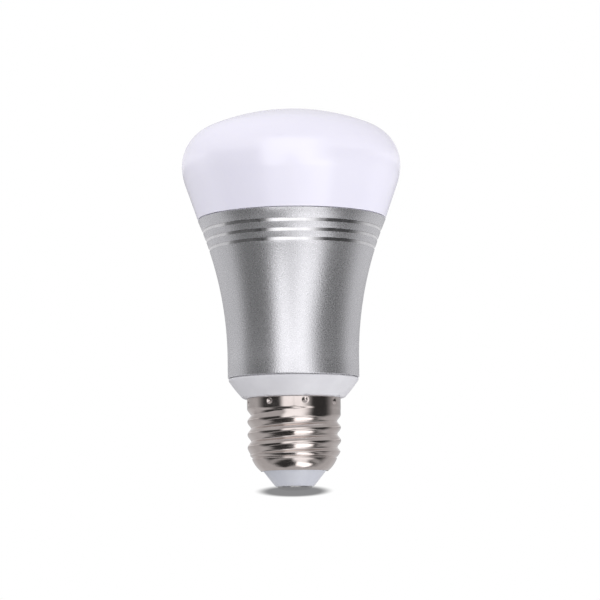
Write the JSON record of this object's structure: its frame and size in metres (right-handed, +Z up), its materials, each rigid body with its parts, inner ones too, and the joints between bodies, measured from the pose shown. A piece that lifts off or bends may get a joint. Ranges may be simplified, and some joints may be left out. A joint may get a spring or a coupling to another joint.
{
  "type": "smart light bulb",
  "caption": "Smart LED light bulb: opal dome diffuser on a flared aluminium sleeve, with a white collar, an E27 screw cap and its LED board, driver and radio inside.",
  "frame": {"origin": "tip of the end contact, on the lamp's axis: where the cap meets the lampholder's centre spring", "axes": "+Z up the lamp's axis from the end contact to the top of the diffuser; -Y is the side seen in the front view, +X to its right"},
  "size_m": [0.0618, 0.0618, 0.1069],
  "materials": {
    "opal_diffuser": "opal polycarbonate with a soft sheen",
    "blasted_aluminium": "bead-blasted, with three bright-cut grooves",
    "white_housing": "moulded white PBT",
    "nickel_shell": "bright nickel plating on brass",
    "white_insulator": "moulded insulator",
    "contact_metal": "tinned brass",
    "silicone_seal": "cured silicone bead",
    "plate_aluminium": "mill finish",
    "thermal_silicone": "filled silicone sheet",
    "led_board_mask": "white solder mask on an aluminium core",
    "led_package": "white moulded package",
    "phosphor": "phosphor in silicone",
    "clear_lens": "clear epoxy",
    "zinc_screw": "zinc plating",
    "white_nylon": "moulded nylon",
    "black_nylon": "moulded nylon",
    "gold_pin": "gold flash",
    "radio_board_mask": "blue solder mask on glass fibre",
    "driver_board_mask": "green solder mask on glass fibre",
    "shield_tin": "tinned steel",
    "chip_black": "moulded epoxy",
    "copper_track": "copper",
    "tinned_lead": "tinned copper wire",
    "can_sleeve": "shrunk sleeve over an aluminium can",
    "ferrite": "sintered ferrite",
    "winding_tape": "yellow polyester tape over the winding",
    "enamelled_copper": "enamelled copper wire",
    "film_case": "dipped epoxy",
    "resistor_body": "coated ceramic",
    "resistor_black": "glazed thick film",
    "wire_red": "insulated wire",
    "wire_white": "insulated wire"
  },
  "bodies": {
    "root": {"diffuser": "opal_diffuser", "heat_sink_sleeve": "blasted_aluminium", "driver_housing": "white_housing", "screw_shell": "nickel_shell", "insulator": "white_insulator", "end_contact": "contact_metal", "diffuser_seal": "silicone_seal", "heat_spreader_plate": "plate_aluminium", "thermal_pad": "thermal_silicone", "led_board": "led_board_mask", "white_led_packages": "led_package", "white_led_phosphor": "phosphor", "colour_led_packages": "led_package", "colour_led_lenses": "clear_lens", "led_board_screws": "zinc_screw", "led_board_socket": "white_nylon", "header_pins": "gold_pin", "header_block": "black_nylon", "radio_board": "radio_board_mask", "radio_shield": "shield_tin", "radio_chip": "chip_black", "radio_flash_chip": "chip_black", "radio_antenna": "copper_track", "radio_pins": "gold_pin", "driver_board": "driver_board_mask", "input_capacitor": "can_sleeve", "output_capacitor": "can_sleeve", "capacitor_leads": "tinned_lead", "transformer_core": "ferrite", "transformer_bobbin": "black_nylon", "transformer_winding": "winding_tape", "transformer_pins": "tinned_lead", "choke_core": "ferrite", "choke_winding": "enamelled_copper", "film_capacitor": "film_case", "bridge_rectifier": "chip_black", "power_supply_chip": "chip_black", "led_driver_chip": "chip_black", "channel_transistors": "chip_black", "chip_leads": "tinned_lead", "chip_resistors": "resistor_black", "fusible_resistor": "resistor_body", "resistor_lead": "tinned_lead", "live_wire": "wire_red", "live_wire_core": "tinned_lead", "neutral_wire": "wire_white", "neutral_wire_end": "tinned_lead"}
  },
  "joints": []
}
